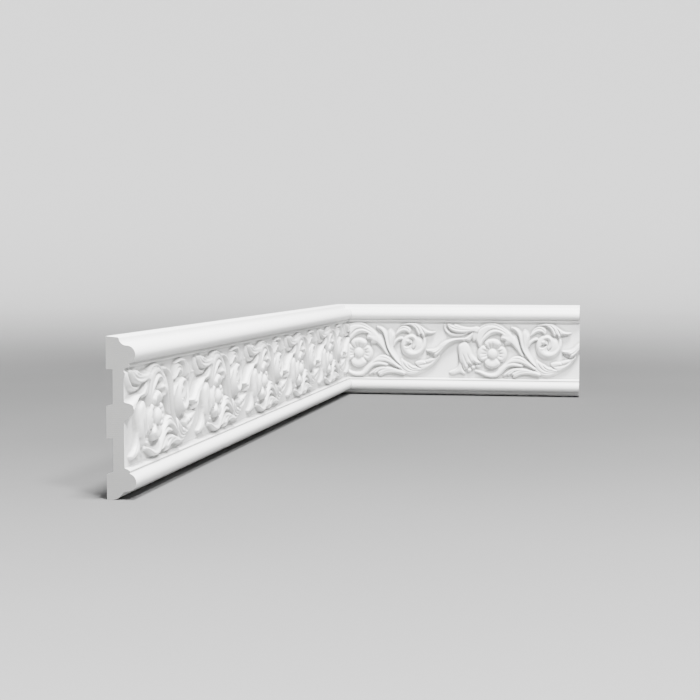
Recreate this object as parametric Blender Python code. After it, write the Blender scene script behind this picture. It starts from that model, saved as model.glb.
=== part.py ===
# A corner of carved panel moulding: two lengths of one moulding, mitred at an inside corner.
# The corner line is the Z axis, the long length backs on to X = 0 and the short one on to Y = 0.
import math

import bmesh
import bpy
import numpy as np
from mathutils import Vector

# Driving dimensions in millimetres.
HEIGHT = 100.0
LONG_RUN = 777.5
SHORT_RUN = 268.5
MITRE_GAP = 0.3

# Section, as depth from the wall and height above the underside; the front is the same upside down.
FIELD_DEPTH = 11.2
FIELD_EDGE = 19.7
FIELD_RISE = (1.2, 0.45)
TORUS_DEPTH = 13.15
TORUS_HEIGHT = 89.0
TORUS_RADIUS = 5.5
TORUS_SWEEP = (-75, 90)
COVE_DEPTH = 13.2
COVE_HEIGHT = 99.5
COVE_RADIUS = 5.0
COVE_SWEEP = (262, 200)
TOP_DEPTH = 7.0
TOP_FALL = 0.6
FILLET = ((14.1, 83.1), (14.65, 82.5), (14.2, 81.7))
BED_FALL = 1.0
BED_WIDTH = 3.5
CHANNELS = ((15.5, 17.0, 37.7), (57.5, 58.8, 79.9))
CHANNEL_DEPTH = 4.2

# Carving, in repeats of one scroll; its zero is the middle of a flower.
REPEAT = 148.59
TILE_START = -48.6
LONG_FLOWER = -722.8
SHORT_FLOWER = 26.77
FLOWER_AT = (-0.8, 46.3)
CARVED_FROM = 17.5
CARVED_TO = 82.5
BROAD_DRAFT = 1.2
DRAFT = 2.4
MOUTH_FLOOR = -2.2

# Facets.
STATION = 2.0
PAST_CORNER = 2.0
LINE = 1.9
TORUS_FACETS = 11
COVE_FACETS = 4
TILE_STEP = 0.5
SOFTEN = 1.0
LONG_KEPT = 0.29
SHORT_KEPT = 0.3
COPLANAR = math.radians(0.1)

METRES = 0.001
PRIMED = (0.86, 0.86, 0.85, 1.0)


def spline(points, closed=False, per_span=8):
    """A smooth line through the points."""
    points = np.array(points, float)
    if closed:
        padded = np.vstack([points[-1:], points, points[:2]])
    else:
        padded = np.vstack([2 * points[0] - points[1], points, 2 * points[-1] - points[-2]])
    k = np.linspace(0, 1, per_span, endpoint=False)[:, None]
    spans = []
    for a, b, c, d in zip(padded, padded[1:], padded[2:], padded[3:]):
        bend = (2 * a - 5 * b + 4 * c - d) * k**2 + (3 * b - a - 3 * c + d) * k**3
        spans.append(0.5 * (2 * b + (c - a) * k + bend))
    return np.vstack(spans + [padded[-2:-1]])


def along(values, t):
    """Values spread evenly over a stroke, read at the fraction t of its length."""
    values = np.atleast_1d(np.array(values, float))
    return np.interp(t, np.linspace(0, 1, len(values)), values)


class Carving:
    """Height above the field over one repeat, raised and cut stroke by stroke."""

    def __init__(self, x, z):
        self.x = x
        self.z = z
        self.height = np.zeros_like(x)

    def raise_to(self, near, height, blend):
        old = self.height[near]
        gap = np.clip(1 - np.abs(old - height) / blend, 0, 1)
        raised = np.maximum(old, height) + blend * gap**2 / 4
        self.height[near] = np.where(height > 0.01, raised, old)

    def beside(self, path, reach):
        """The places near each copy of a line: their distance, fraction of its length and side."""
        marks = np.concatenate([[0], np.cumsum(np.hypot(*np.diff(path, axis=0).T))])
        for shift in (-REPEAT, 0.0, REPEAT):
            line = path + (shift, 0)
            low = line.min(axis=0) - reach
            high = line.max(axis=0) + reach
            inside = (self.x > low[0]) & (self.x < high[0]) & (self.z > low[1]) & (self.z < high[1])
            near = np.where(inside)
            x = self.x[near]
            z = self.z[near]
            best = np.full(x.shape, 1e9)
            t = np.zeros_like(x)
            side = np.zeros_like(x)
            within = np.zeros(x.shape, bool)
            for a, b, start, end in zip(line, line[1:], marks, marks[1:]):
                run = b - a
                k = np.clip(((x - a[0]) * run[0] + (z - a[1]) * run[1]) / (run @ run), 0, 1)
                dx = x - a[0] - k * run[0]
                dz = z - a[1] - k * run[1]
                far = np.hypot(dx, dz)
                closer = far < best
                best = np.where(closer, far, best)
                t = np.where(closer, (start + k * (end - start)) / marks[-1], t)
                side = np.where(closer, np.sign(run[0] * dz - run[1] * dx), side)
                if run[1]:
                    passes = (a[1] > z) != (b[1] > z)
                    within ^= passes & (x < a[0] + (z - a[1]) * run[0] / run[1])
            yield near, best, t, side, within

    def body(self, outline, rise, edge, lean=(0, 0), blend=0.5, power=0.4):
        """A filled shape inside a smooth closed outline, rounded over at its edge and leaning evenly."""
        path = spline(outline, closed=True)
        middle = path.mean(axis=0)
        for near, far, _, _, within in self.beside(path, 0.1):
            top = rise + lean[0] * (self.x[near] - middle[0]) + lean[1] * (self.z[near] - middle[1])
            top = top - lean[0] * REPEAT * np.round((self.x[near] - middle[0]) / REPEAT)
            s = np.clip(far / edge, 0, 1)
            self.raise_to(near, np.where(within, top * (1 - (1 - s) ** 2) ** power, 0), blend)

    def bar(self, spine, left, right, rise, power=(0.6, 0.6), blend=0.25):
        """A raised stroke with its crest on the spine and its own width and roundness on each side."""
        reach = max(np.max(left), np.max(right))
        for near, far, t, side, _ in self.beside(spline(spine), reach):
            width = np.where(side > 0, along(left, t), along(right, t))
            s = np.clip(far / width, 0, 1)
            self.raise_to(near, along(rise, t) * (1 - s**2) ** np.where(side > 0, *power), blend)

    def flute(self, spine, left, right, depth, sharp=1.5):
        """A groove along the spine, with its own width on each side."""
        for near, far, t, side, _ in self.beside(spline(spine), max(np.max(left), np.max(right))):
            s = np.clip(far / np.where(side > 0, along(left, t), along(right, t)), 0, 1)
            groove = along(depth, t) * (1 - s) ** sharp
            self.height[near] = np.maximum(self.height[near] - groove, 0)

    def pit(self, outline, depth, edge, floor=0.0):
        """A hollow inside a smooth closed outline, steep at its edge and level at its floor."""
        for near, far, _, _, within in self.beside(spline(outline, closed=True), 0.1):
            s = np.clip(far / edge, 0, 1)
            sunk = self.height[near] - depth * s * (2 - s)
            self.height[near] = np.where(within, np.maximum(sunk, floor), self.height[near])

    def rib(self, spine, width, height):
        """A soft ridge added to what lies under the spine."""
        for near, far, t, _, _ in self.beside(spline(spine), np.max(width)):
            s = np.clip(far / along(width, t), 0, 1)
            there = np.clip(self.height[near] / 1.5, 0, 1)
            self.height[near] += along(height, t) * (1 - s**2) ** 2 * there

    def boss(self, x, z, across, up, rise, foot=0.0, power=0.5):
        """A domed oval."""
        for shift in (-REPEAT, 0.0, REPEAT):
            s = np.hypot((self.x - x - shift) / across, (self.z - z) / up)
            near = np.where(s < 1)
            self.raise_to(near, foot + (rise - foot) * (1 - s[near] ** 2) ** power, 0.2)

    def petal(self, turn, half, reach, rise, grooves, foot=0.42):
        """A cupped petal that points along turn and spreads half to each side, in degrees."""
        x = self.x - FLOWER_AT[0]
        z = self.z - FLOWER_AT[1]
        a = ((np.degrees(np.arctan2(z, x)) - turn + 180) % 360 - 180) / half
        near = np.where((np.abs(a) < 1) & (np.hypot(x, z) < reach))
        a = a[near]
        edge = reach * (1 - 0.2 * np.abs(a) ** 2.6)
        s = np.clip(np.hypot(x, z)[near] / edge, 0, 1)
        cup = foot + (1 - foot) * np.sin(np.pi / 2 * np.clip((s - 0.3) / 0.45, 0, 1)) ** 2
        rim = np.sqrt(1 - np.clip((s - 0.8) / 0.2, 0, 1) ** 2)
        between = 0.25 + 0.75 * np.clip((1 - np.abs(a)) / 0.25, 0, 1) ** 0.7
        body = rise * cup * rim * between * (1 - 0.08 * a**2)
        for groove in grooves:
            dip = np.clip(1 - np.abs(a - groove) / 0.18, 0, 1) ** 1.5
            body = body - 1.2 * dip * np.clip((0.85 - s) / 0.3, 0, 1)
        self.raise_to(near, np.maximum(body, 0), 0.15)

    def draft(self, slope):
        """Slopes the lower side of every form down to the field, as it leaves the mould."""
        fall = slope * (self.z[1, 0] - self.z[0, 0])
        for row in range(len(self.height) - 2, -1, -1):
            self.height[row] = np.maximum(self.height[row], self.height[row + 1] - fall)


def wave_leaf(c):
    """The fluted leaf that sweeps along the bottom and up under the trumpet."""
    c.body([(45.4, 33), (45.8, 38), (47, 40.8), (48.6, 39.6), (50.4, 38.6), (53, 37), (56.2, 35.4),
            (59.4, 33), (62, 32.6), (61.8, 35.4), (63.4, 37.6), (67.6, 38.6), (72, 38.6), (75, 39.6),
            (79, 41), (83.6, 41.6), (86.6, 42.8), (89.2, 44.8), (89.6, 43), (87.6, 40.2), (85.4, 37),
            (82, 33.6), (77.6, 30.6), (72, 27.2), (67, 24.4), (61, 22.6), (55, 22.7), (50, 24),
            (46.6, 26.6), (44.4, 30)], 4.2, 2.2, lean=(0.02, 0.05))


def trumpet(c):
    """The fluted trumpet leaf and the stem that carries it."""
    c.body([(74.6, 50.4), (77.4, 51), (81, 51.2), (84.4, 52), (87.6, 54), (91, 57.4), (95, 60.2),
            (99, 61.8), (104, 63.2), (110, 63.8), (118, 63.8), (118, 61.8), (112, 61.4), (107, 60.2),
            (103, 58.2), (99, 55.4), (96, 52.8), (93, 49.8), (90, 46.4), (87, 43.8), (84.6, 42.8),
            (83, 43.6), (83, 45.8), (81, 47), (78.4, 47.8), (76, 49)], 6.6, 3, lean=(-0.016, 0))


def volute(c):
    """The rolled volute: a snail's coil that sinks towards its eye."""
    c.boss(62, 55.4, 10.8, 9.8, 4.3, power=0.35)
    c.bar([(72.8, 62), (72.4, 56), (69.8, 50.4), (65.4, 46.7), (60.4, 45.6), (55.6, 46.9), (52.3, 50.3),
           (50.8, 55), (51.6, 59.8), (54.6, 63.4), (58.8, 64.6), (62.2, 62.4), (63, 58.4), (62, 54)],
          (1.8, 2.2, 3.6, 5.4, 4.4, 3, 1.8), (2.6, 4, 6, 6, 5, 4, 3),
          (3.4, 4.2, 5.2, 5.6, 5.6, 5.3, 5.2, 5.2, 4.8), (0.6, 1.1), 1.2)


def volute_grooves(c):
    """The winding line of the coil and the lobes beside its eye."""
    c.boss(53.6, 60, 4.2, 3, 5.8)
    c.boss(52.8, 52.2, 3.4, 2.5, 5.9)
    c.flute([(55.2, 62.8), (57.6, 62.3), (59.3, 60.4), (59.6, 57.6), (58.8, 54.8), (58.6, 52.4),
             (59.8, 50.9), (61.6, 51.8), (63.2, 54.4)],
            (0.9, 1.1, 1.1, 0.9), (0.9, 1.2, 1.4, 1.2), (0.8, 2, 2.2, 2.2, 3.0, 0.6))
    c.flute([(70.6, 63), (70.6, 59), (69.6, 55)], 1, 1.4, (1.4, 1.0, 0))
    c.rib([(61, 57), (63.4, 60.4), (62, 64.2), (57, 65.6), (52, 63.8)], 1.6, (0, 0.5, 0.7, 0.5, 0))


def trumpet_grooves(c):
    """The flutes of the trumpet and of the leaf under it."""
    c.flute([(77.6, 49.4), (82, 49.2), (85.2, 50.2), (88, 52), (92, 55.4), (96, 58), (100, 59.8)],
            (0.7, 0.8, 0.8), (1.2, 1.7, 1.4), (0.9, 1.1, 1, 0.6, 0))
    c.flute([(83, 46.6), (86, 47.8), (89, 50.2), (92, 53.2), (95.4, 55.8)],
            (0.7, 0.8, 0.7), (1.2, 1.7, 1.2), (1.4, 1.2, 0.9, 0))
    c.flute([(83.4, 42.4), (86, 42.8), (88.6, 45), (91, 48)],
            (0.7, 0.9, 0.7), (1.2, 1.6, 1.2), (3, 2.6, 1.4, 0), 1.2)
    c.flute([(43.8, 31), (46, 28.6), (49.4, 26.2), (53.4, 24.9), (58, 24.4)],
            0.7, (1.2, 1.4, 1), (1.4, 1, 0.6, 0))
    c.flute([(46, 33.6), (47.6, 30.6), (50.6, 27.8), (54.6, 26), (59, 25.3), (65, 25.4), (71, 27.2),
             (76, 29.6)], 0.7, (1.2, 1.5, 1.2), (0.8, 0.9, 0.9, 0.5, 0.8, 0.4))
    c.flute([(48, 38.6), (49.4, 35), (52, 31.6), (55.6, 28.9), (60, 27.3), (65, 27), (70, 27.9),
             (75.4, 29.6)], (0.7, 0.9, 0.8), (1.2, 1.7, 1.4), (0.6, 1.3, 1.3, 0.8, 1.2, 0.4))
    c.flute([(53.2, 35.6), (55.2, 32.6), (58.2, 30.2), (62, 28.9), (67, 28.6)],
            (0.7, 0.9, 0.7), (1.2, 1.6, 1.2), (0.9, 1.3, 0.9, 0))
    c.flute([(61.6, 35.8), (63.4, 33.4), (65.6, 31.5), (69, 29.8)],
            (0.8, 1, 0.8), (1.4, 1.8, 1.2), (4.2, 3.8, 2.4, 0.4), 1.2)
    c.flute([(66.6, 33.2), (70.6, 34), (75, 34.9), (79.6, 36.5), (84, 39.4)],
            (0.9, 1.2, 0.9), (1.8, 2.4, 1.6), (0.6, 1.3, 1.3, 0.4), 1.3)
    c.flute([(72.8, 39), (73.8, 37.2), (75.4, 35.6)], 0.8, 0.7, (1.8, 1.6, 0.6))


def curled_leaf(c):
    """The leaf that springs back from the knot and curls up to two tips."""
    c.bar([(94.9, 77.6), (95.4, 74.6), (97, 71.6), (99.8, 69), (103.6, 67.5), (108.4, 66.9), (113, 67.3),
           (116.6, 68.2), (120, 69.2)],
          (1.2, 1.6, 1.8, 1.8, 1.2), (1.1, 1.5, 1.6, 1.5, 1), (2.4, 3.4, 3.4, 3.2, 2.6), (0.7, 0.45))
    c.body([(98, 79), (98, 77.2), (99.4, 74.9), (101.9, 72.4), (105.6, 70.6), (110.4, 69.5),
            (115.6, 69.2), (120, 69.5), (124.4, 70.1), (128.4, 70.2), (132, 69.4), (134.4, 74.6),
            (130.6, 76.8), (125, 76), (119, 76.2), (113.6, 77.2), (109.6, 78.6), (106.4, 79.3),
            (104.6, 78.1), (101.6, 79), (99.6, 79.5)], 5.3, 2, lean=(0.005, -0.06), blend=2)
    c.flute([(99.8, 77.6), (102.4, 75.6), (106, 74.2), (110, 73.4), (115, 72.9), (120, 72.7), (125, 73)],
            (0.7, 0.9, 0.8), (1.2, 1.5, 1.4), (1.1, 1.2, 0.8, 0.4, 0))
    c.flute([(104.4, 78.4), (106, 76.8), (109, 75.6), (113, 74.9), (118, 74.5)],
            (0.6, 0.8, 0.6), (1, 1.4, 1.2), (0.9, 0.7, 0.5, 0))


def knot(c):
    """The bulb that ends the stem, from which the leaves and the bell spring."""
    c.body([(116.8, 64), (119.6, 65.7), (123, 68.3), (125.4, 70.4), (127.4, 70.6), (127.2, 67.4),
            (126, 64.4), (124.6, 62), (123, 60.2), (121, 59.9), (118.6, 60.7), (117, 62.2)],
           5.2, 3.2, lean=(0, 0.04), blend=1.6)
    c.body([(126, 68.6), (127, 71.8), (129.4, 73.4), (131.8, 72.6), (131.8, 68), (130.8, 64),
            (129.6, 60.8), (127.8, 60.2), (126, 61), (125.2, 64.4)], 4.6, 2.8, lean=(0, 0.06), blend=2.2)
    c.flute([(117.8, 65.4), (117, 62.8), (118, 60)], 0.8, 0.7, (0.6, 1, 0.6))
    c.flute([(119.4, 62), (122.4, 63.6), (125.6, 66.4)], 1.3, 1.2, (0.2, 0.5, 0.1))


def arching_leaf(c):
    """The leaf that springs from the knot, arches over the flower and runs down to the stem."""
    c.bar([(11, 64.6), (15, 62.6), (19, 60.6), (23, 57), (26.8, 52), (29.8, 47.6), (32.2, 44.6)],
          (2, 7, 10, 8, 5, 3, 1.4), (2, 3, 2.4, 2, 1.7, 1.4, 1), (5.2, 5.4, 5, 4.4, 4, 3.6, 3),
          (1.3, 0.42), 1)
    c.body([(-15.2, 53.4), (-17, 56.6), (-18.6, 60), (-19.5, 64), (-19.3, 68.4), (-18, 72.2),
            (-15.4, 75.6), (-12, 78), (-7.6, 79.5), (-2, 80.2), (3, 79.9), (8, 78.1), (12, 75.5),
            (16, 72.4), (20, 68.4), (22, 64), (20, 58), (16, 57), (12.8, 57.6), (13, 60.2), (13, 62),
            (10.6, 62.2), (8.4, 62.6), (8, 64.6), (9, 66.4), (9.2, 67.8), (7.4, 68.7), (4.4, 69),
            (1.4, 68.6), (-2, 67.2), (-5, 65.3), (-7.6, 62.7), (-9.8, 60.4), (-11.6, 57.6),
            (-12.8, 55.2)], 4.9, 2.4, lean=(0.004, 0.002), blend=2)
    c.flute([(-17.6, 61), (-17.8, 66), (-16.8, 70.4), (-14.2, 74), (-10.6, 76.4), (-6.6, 77.8),
             (-2, 78.3), (3, 77.6), (8, 75.4), (12.6, 72.5), (17, 69)],
            (0.9, 1, 0.8), (1.3, 1.7, 1.6), (0, 1.1, 1.8, 1.9, 1.6, 1.2, 0))
    c.flute([(-13.6, 58.6), (-12.6, 62.4), (-10.8, 66), (-8, 69.2), (-4.6, 72.2), (-0.6, 73.7),
             (3.4, 73.8), (7.6, 72.5), (11.4, 70.5), (15.4, 68)],
            (0.9, 1, 0.8), (1.3, 1.8, 1.7), (0, 1.2, 1.9, 2, 1.6, 1, 0))
    c.rib([(-9.6, 62), (-7, 66), (-3.6, 69.4), (0.4, 71.2), (4.4, 71.4), (8.6, 69.8), (11.6, 67.6)],
          1.9, (0.2, 0.6, 0.7, 0.5, 0.2))


def volute_leaves(c):
    """The leaves that lap over the volute, drooping to two tips on its far side."""
    c.body([(40.4, 66.2), (41.4, 70), (43.6, 73.6), (47, 76.1), (51, 76.9), (54.8, 75.9), (57.4, 73.2),
            (57.8, 70.4), (56.2, 67.7), (54, 69.7), (51, 70.6), (47.6, 70), (44.2, 68)],
           4.8, 2, lean=(0.02, -0.04))
    c.flute([(41.8, 69), (44.2, 72), (47.2, 74), (50.6, 74.6), (53.6, 73.6), (56, 71)],
            (0.7, 0.9, 0.7), (1, 1.5, 1.2), (0.4, 1.5, 1.7, 1.5, 0.8))
    c.body([(37.8, 53.6), (38.2, 57.4), (39.6, 61), (42.2, 63.6), (45.4, 65), (48.6, 64.4), (49, 62),
            (46.8, 61.2), (44, 59.9), (41.2, 57.2), (39.2, 54)], 4.4, 1.8, lean=(0.05, 0))
    c.flute([(39.8, 60.4), (42, 62.6), (44.8, 63.7), (47.6, 63.6)],
            0.6, (0.9, 1.2, 0.9), (0.4, 1.2, 1.2, 0.4))
    c.body([(46, 77), (48.6, 78.3), (52, 79.2), (57, 80), (63, 79.6), (67.4, 77.8), (71.4, 75),
            (75.6, 72.1), (79.8, 70.7), (84.8, 70.4), (82.4, 68.9), (78.6, 68), (75.4, 68.1),
            (73.4, 66.9), (71.8, 64.3), (70.4, 65.8), (69.2, 67.8), (67.2, 66.8), (65.4, 68), (63.8, 71),
            (61.6, 74.6), (58.6, 77), (54.4, 77.8), (50, 77.6)], 5, 1.4, lean=(0.01, 0))
    c.flute([(57.4, 79), (62, 77.6), (65.2, 74.6), (67, 71), (68.2, 67.6)],
            (0.8, 0.8, 0.7), (0.8, 1.1, 1.1), (0, 1.3, 1.6, 1.8))
    c.flute([(62, 78.9), (66.8, 76.7), (70, 73.4), (72, 69.8), (73.4, 66.8)],
            (0.8, 0.9, 0.8), (0.8, 1.1, 1.1), (0, 1.3, 1.7, 2.2))


def upright_leaf(c):
    """The two-pointed leaf beside the volute and the stem that it grows from."""
    c.body([(30, 64), (30.4, 70), (33.6, 74), (36, 73.6), (38.4, 71), (40.4, 66), (39.4, 60), (38.6, 54),
            (40.6, 47), (44.6, 40), (48, 34.6), (46.6, 32.4), (40, 37.4), (35, 44), (32, 50), (30.4, 57)],
           3, 4.2, blend=1.2, power=1)
    c.bar([(20, 75.6), (22.8, 74.4), (25.4, 72.4), (27.4, 69.6), (28.9, 65.6), (30, 60.6), (31.3, 55),
           (33.4, 49.8), (36.6, 44.8), (41, 39.2), (46.8, 33.2)],
          (1.6, 3.6, 4, 3.4, 2.8, 2.6, 2.4, 2, 1.6), (0.9, 1.1, 1.1, 0.9, 0.8, 0.8, 0.9, 1, 0.8),
          (4.2, 5.6, 6, 5.6, 5, 4.6, 4.4, 4), (0.9, 0.4), 0.9)
    c.flute([(22.6, 77), (26, 75.8), (28.8, 73), (30.4, 69), (31.4, 64)],
            (0.8, 1, 0.8), (1, 1.2, 1), (0.3, 0.7, 0.6, 0))
    c.rib([(34, 73.6), (33.7, 69), (33.8, 63), (34.6, 57)], 1.5, (0.5, 0.9, 0.6, 0))
    c.rib([(38.4, 68), (37, 63), (36.6, 58), (37.6, 52)], 1.5, (0.3, 0.9, 0.6, 0))


def wave_stem(c):
    """The stem that rolls under the flower and opens into three fluted lobes."""
    c.bar([(-19.4, 27.7), (-15, 26.6), (-10, 24.3), (-5, 22.5), (0, 22.1), (4.4, 23.1), (8.4, 26.2),
           (12, 30.2), (16, 33.4), (21, 34.7), (26, 34.3), (30.4, 33.6)],
          (1, 2.4, 4.2, 5.2, 5.6, 4.8, 4.4, 2.6), (0.9, 1.2, 1.3, 1.4, 1.7, 2, 2, 1.4),
          (3.2, 4.4, 4.6, 4.6, 4.8, 5, 5, 4.8), (0.9, 0.45))
    c.body([(11, 32), (14.6, 37), (18.4, 41), (23, 43.8), (28, 44.4), (33, 42.4), (37.6, 38.8),
            (42.4, 34.8), (47, 31), (45, 29.2), (40, 31.6), (35.6, 34), (31, 35.9), (26, 36.6),
            (21.6, 36.4), (17.4, 35.4)], 5, 2.2, lean=(0, -0.04))
    c.flute([(16.4, 38.6), (20.4, 40.9), (25, 41.8), (29.6, 41), (34, 38.6), (38.6, 35.2)],
            (0.8, 1, 0.8), (1.2, 1.5, 1.2), (0.2, 0.8, 0.8, 0.6, 0))
    c.body([(10.4, 22.8), (12.4, 25.2), (15.4, 27.6), (19, 29.8), (24, 31.4), (30, 31.6), (36, 30.6),
            (42, 29), (48, 27.4), (52, 24.8), (50, 22.8), (44, 23.6), (38, 24.4), (33, 24.2),
            (28.6, 23.2), (25, 21.5), (22.2, 20.8), (21.6, 22.8), (19.4, 24), (17, 23), (15.4, 23.6),
            (12.6, 22.6)], 4.6, 2, lean=(0.02, -0.03))
    c.flute([(15.4, 24.4), (18, 26.4), (21.6, 28.6), (26, 30)],
            (0.6, 0.8, 0.6), (1, 1.2, 0.8), (1.2, 0.8, 0))
    c.flute([(19.8, 24.6), (22.4, 26.9), (25.8, 28.2), (30, 28.8)],
            (0.7, 0.8, 0.6), (1.2, 1.6, 1), (2.4, 2.2, 1, 0))
    c.flute([(24, 23.4), (28, 25.4), (33, 26.8), (39, 27.2), (45, 26.2)],
            (0.8, 1, 0.8), (1, 1.2, 1), (0.3, 0.6, 0.4, 0))


def bell(c):
    """The bell that hangs from the knot, in folds, with three beads and a flared leaf at its foot."""
    c.body([(99.8, 25.9), (102.6, 27.8), (106.4, 29.2), (109.4, 31.4), (110.8, 35), (111.4, 40),
            (112.6, 42.4), (114.2, 40), (114.4, 35.4), (115, 31), (116.6, 27.4), (118.2, 24.2),
            (115.6, 24.2), (112.8, 25.4), (109.4, 24.7), (105.4, 23.4), (101.8, 23.8)],
           3.4, 1.6, lean=(0.05, 0.04))
    c.flute([(112.8, 41), (112.4, 36), (111.6, 31.6), (109, 28.6), (105.6, 27)],
            0.9, 1.2, (0.4, 1.3, 1.2, 0.8, 0))
    c.flute([(113.8, 38), (113.8, 33.6), (114.4, 30), (116, 26.6)], 0.8, 0.9, (0.4, 1.1, 1, 0.6))
    c.bar([(115, 41.4), (114.8, 37), (115.6, 32.6), (117, 29.4)],
          (1, 1.2, 1.2, 1), (0.8, 0.9, 0.9, 0.8), (4, 3.8, 3.8, 3.6), (0.7, 0.6))
    c.body([(109.5, 52.6), (110.3, 55.8), (112.6, 58), (116, 59), (119.4, 58.2), (122, 55.8),
            (123.8, 51.6), (126.2, 45.6), (130.4, 41.2), (134.4, 38), (135.6, 36.4), (133, 35.3),
            (129.4, 35.3), (127, 36.4), (125.6, 34.4), (123.4, 33.6), (121.6, 34.4), (121.3, 32),
            (120, 29.4), (118, 29.5), (116, 31.6), (114.6, 35), (113.2, 39), (111.2, 43), (109.8, 48)],
           5.4, 4, lean=(-0.02, 0), power=0.46)
    c.boss(117.4, 46.6, 6.4, 12.4, 6.2, 4.2, power=0.7)
    c.flute([(114.6, 48), (116.6, 43), (118.4, 38.4), (120, 34.6)],
            (1.2, 1.5, 1.2), (1.4, 1.8, 1.4), (0, 0.9, 1.1, 1.2))
    c.flute([(119.6, 48), (121.6, 43), (123.4, 39), (125.2, 36.2)],
            (1.2, 1.5, 1.2), (1.4, 1.8, 1.4), (0, 0.9, 1.1, 1.2))
    c.rib([(121.6, 52), (124.2, 46.6), (127.6, 42), (131.8, 38.4)], 2.2, (0, 0.5, 0.6, 0.3))
    c.boss(122.4, 28.4, 2.3, 2.2, 4.4)
    c.boss(126.7, 31.6, 2.2, 2.1, 4.6)
    c.boss(131.8, 32.8, 3.2, 1.7, 3)


def flower(c):
    """Four cupped petals round a button."""
    c.boss(FLOWER_AT[0], FLOWER_AT[1], 12.4, 12.6, 2.8, power=0.35)
    c.petal(176, 45, 16.8, 5.2, (-0.45, 0.06, 0.5))
    c.petal(0, 45, 15.9, 4.7, (-0.42, 0.05, 0.5))
    c.petal(268, 46, 15.9, 5.6, (), 0.72)
    c.petal(90, 44, 17.4, 6.0, (-0.7, -0.02, 0.42), 0.4)
    c.boss(FLOWER_AT[0], FLOWER_AT[1], 5.2, 6, 7.0, 3.0)


def hollows(c):
    """The deep dark places that the draft of the mould leaves open."""
    c.pit([(75.2, 48.8), (78.2, 47.6), (82.4, 46.4), (82.8, 44), (80.8, 42.2), (77.8, 43.4), (75.8, 46)],
          8, 1.8, MOUTH_FLOOR)
    c.pit([(50.4, 54.2), (51.6, 56.4), (54.6, 57.7), (57.8, 57.7), (58.4, 56), (56, 54.2), (52.8, 53.2)],
          3.6, 1.3)


def carve(x, z):
    """Height of the carving above the field, in millimetres, over one repeat."""
    c = Carving(x, z)
    for motif in (wave_leaf, trumpet, volute):
        motif(c)
    c.draft(BROAD_DRAFT)
    for motif in (volute_grooves, trumpet_grooves, arching_leaf, curled_leaf, knot, volute_leaves,
                  upright_leaf, wave_stem, bell, flower):
        motif(c)
    c.draft(DRAFT)
    hollows(c)
    return c.height


class Scroll:
    """One repeat of the carving, softened to the size of a facet and read at any place."""

    def __init__(self):
        self.x = np.arange(TILE_START, TILE_START + REPEAT, TILE_STEP)
        self.z = np.arange(CARVED_FROM, CARVED_TO, TILE_STEP)
        height = carve(*np.meshgrid(self.x, self.z))
        reach = round(SOFTEN / TILE_STEP)
        shifts = range(-reach, reach + 1)
        padded = np.pad(height, ((reach, reach), (0, 0)), mode="edge")
        rows = len(self.z)
        level = sum(padded[reach + i:reach + i + rows] for i in shifts) / len(shifts)
        self.height = sum(np.roll(level, i, axis=1) for i in shifts) / len(shifts)

    def at(self, run, z):
        """Height of the carving at a run from the middle of a flower and a height z."""
        along_tile = ((run - TILE_START) % REPEAT) / TILE_STEP
        up_tile = (z - CARVED_FROM) / TILE_STEP
        columns = len(self.x)
        i = int(along_tile) % columns
        j = min(int(up_tile), len(self.z) - 2)
        p = along_tile - int(along_tile)
        q = up_tile - j
        low = self.height[j, i] * (1 - p) + self.height[j, (i + 1) % columns] * p
        high = self.height[j + 1, i] * (1 - p) + self.height[j + 1, (i + 1) % columns] * p
        return low * (1 - q) + high * q


def arc(centre, radius, start, end, steps):
    """Points of an arc in the section, angles in degrees."""
    turns = [math.radians(start + (end - start) * i / steps) for i in range(steps + 1)]
    return [(centre[0] + radius * math.cos(t), centre[1] + radius * math.sin(t)) for t in turns]


def front_edge():
    """The upper front of the section, from the field's edge up and back to the wall."""
    points = [(FIELD_DEPTH, HEIGHT - FIELD_EDGE)]
    points.append((FIELD_DEPTH + FIELD_RISE[0], HEIGHT - FIELD_EDGE + FIELD_RISE[1]))
    points += reversed(FILLET)
    points += arc((TORUS_DEPTH, TORUS_HEIGHT), TORUS_RADIUS, *TORUS_SWEEP, TORUS_FACETS)
    points += arc((COVE_DEPTH, COVE_HEIGHT), COVE_RADIUS, *COVE_SWEEP, COVE_FACETS)
    points += [(TOP_DEPTH, HEIGHT - TOP_FALL), (0, HEIGHT)]
    return points


def section():
    """The closed outline of the moulding as (depth, height), running up the front and down the back."""
    upper = front_edge()
    lower = [(depth, HEIGHT - z) for depth, z in reversed(upper[:-2])]
    bed = [(0, 0), (BED_WIDTH, 0), (TOP_DEPTH, BED_FALL)]
    lines = round((HEIGHT - 2 * FIELD_EDGE) / LINE)
    gap = (HEIGHT - 2 * FIELD_EDGE) / lines
    field = [(FIELD_DEPTH, FIELD_EDGE + gap * i) for i in range(1, lines)]
    back = []
    for rib, floor, top in reversed(CHANNELS):
        back += [(0, top), (CHANNEL_DEPTH, top), (CHANNEL_DEPTH, floor), (0, rib)]
    return bed + lower + field + upper + back


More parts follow.
